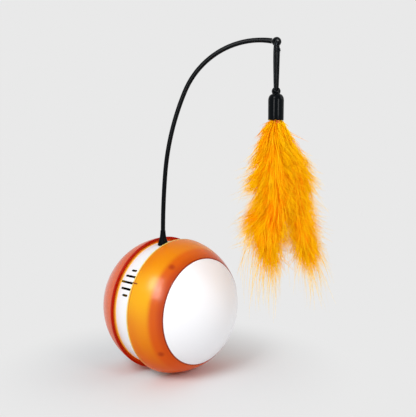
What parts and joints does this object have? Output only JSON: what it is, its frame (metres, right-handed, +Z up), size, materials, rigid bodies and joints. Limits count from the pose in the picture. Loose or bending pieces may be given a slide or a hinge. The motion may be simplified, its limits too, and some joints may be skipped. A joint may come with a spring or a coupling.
{
  "type": "wobble cat toy",
  "caption": "Rolling ball cat toy: two clear coloured driven wheels on a weighted white core, with a springy arched wand and a hanging feather lure.",
  "frame": {"origin": "on the floor, midway between the two wheel rims that carry the ball", "axes": "+X along the axle towards the right wheel, -Y towards the sound slots, +Z up towards the wand"},
  "size_m": [0.1177, 0.0847, 0.1914],
  "materials": {
    "shell_orange": "clear orange, high gloss",
    "dome_white": "high gloss",
    "core_white": "satin",
    "frame_white": "moulded",
    "gear_white": "moulded",
    "steel": "plain",
    "bronze": "sintered",
    "battery_foil": "foil",
    "board_green": "solder mask",
    "wand_black": "high gloss",
    "boot_black": "matte",
    "button_grey": "soft",
    "cord_black": "braided",
    "ferrule_black": "high gloss",
    "feather_orange": "down feathers"
  },
  "bodies": {
    "core": {"core_shell": "core_white", "cover_screws": "steel", "plate_screws": "steel", "battery": "battery_foil", "battery_tray": "frame_white", "ballast_weight": "steel", "circuit_board": "board_green", "board_screws": "steel", "charging_socket": "steel", "tact_switch": "boot_black", "buzzer": "boot_black", "side_cover_right": "frame_white", "bearing_bush_right": "bronze", "gear_plate_right": "frame_white", "gearmotor_right": "steel", "side_cover_left": "frame_white", "bearing_bush_left": "bronze", "gear_plate_left": "frame_white", "gearmotor_left": "steel"},
    "wheel_right": {"wheel_shell_right": "shell_orange", "wheel_dome_right": "dome_white", "wheel_screws_right": "steel", "wheel_shaft_right": "steel", "shaft_clip_right": "steel", "wheel_gear_right": "gear_white"},
    "pinion_right": {"drive_pinion_right": "bronze", "motor_shaft_right": "steel"},
    "wheel_left": {"wheel_shell_left": "shell_orange", "wheel_dome_left": "dome_white", "wheel_screws_left": "steel", "wheel_shaft_left": "steel", "shaft_clip_left": "steel", "wheel_gear_left": "gear_white"},
    "pinion_left": {"drive_pinion_left": "bronze", "motor_shaft_left": "steel"},
    "button": {"power_button": "button_grey"},
    "wand": {"wand_boot": "boot_black", "wand_rod": "wand_black"},
    "tether": {"tether_loop": "cord_black"},
    "lure": {"ferrule": "ferrule_black", "quill_bundle": "feather_orange", "feather_plume": "feather_orange"}
  },
  "joints": [
    {"name": "wheel_right_spin", "type": "hinge", "parent": "core", "child": "wheel_right", "pos_m": [0.0177, 0, 0.03945], "axis": [1, 0, 0], "continuous": true},
    {"name": "pinion_right_spin", "type": "hinge", "parent": "core", "child": "pinion_right", "pos_m": [0.0156, -0.01084, 0.0288], "axis": [1, 0, 0], "continuous": true},
    {"name": "wheel_left_spin", "type": "hinge", "parent": "core", "child": "wheel_left", "pos_m": [-0.0177, 0, 0.03945], "axis": [1, 0, 0], "continuous": true},
    {"name": "pinion_left_spin", "type": "hinge", "parent": "core", "child": "pinion_left", "pos_m": [-0.0156, 0.01372, 0.03291], "axis": [1, 0, 0], "continuous": true},
    {"name": "power_button_press", "type": "slide", "parent": "core", "child": "button", "axis": [0, -0.6494, -0.7604], "range_m": [0, 0.0008], "stiffness_N_per_m": 400},
    {"name": "wand_pull_out", "type": "slide", "parent": "core", "child": "wand", "axis": [0, -0.165, 0.9863], "range_m": [0, 0.01]},
    {"name": "lure_swing", "type": "hinge", "parent": "wand", "child": "tether", "pos_m": [0.05794, 0.02453, 0.18871], "axis": [0.4695, -0.8829, 0], "range_deg": [-8, 50]},
    {"name": "ferrule_swing", "type": "hinge", "parent": "tether", "child": "lure", "pos_m": [0.05794, 0.02453, 0.16241], "axis": [0.4695, -0.8829, 0], "range_deg": [-10, 45]}
  ],
  "couplings": [
    {"joint": "pinion_right_spin", "follows": "wheel_right_spin", "ratio": -2.8},
    {"joint": "pinion_left_spin", "follows": "wheel_left_spin", "ratio": -2.8}
  ]
}
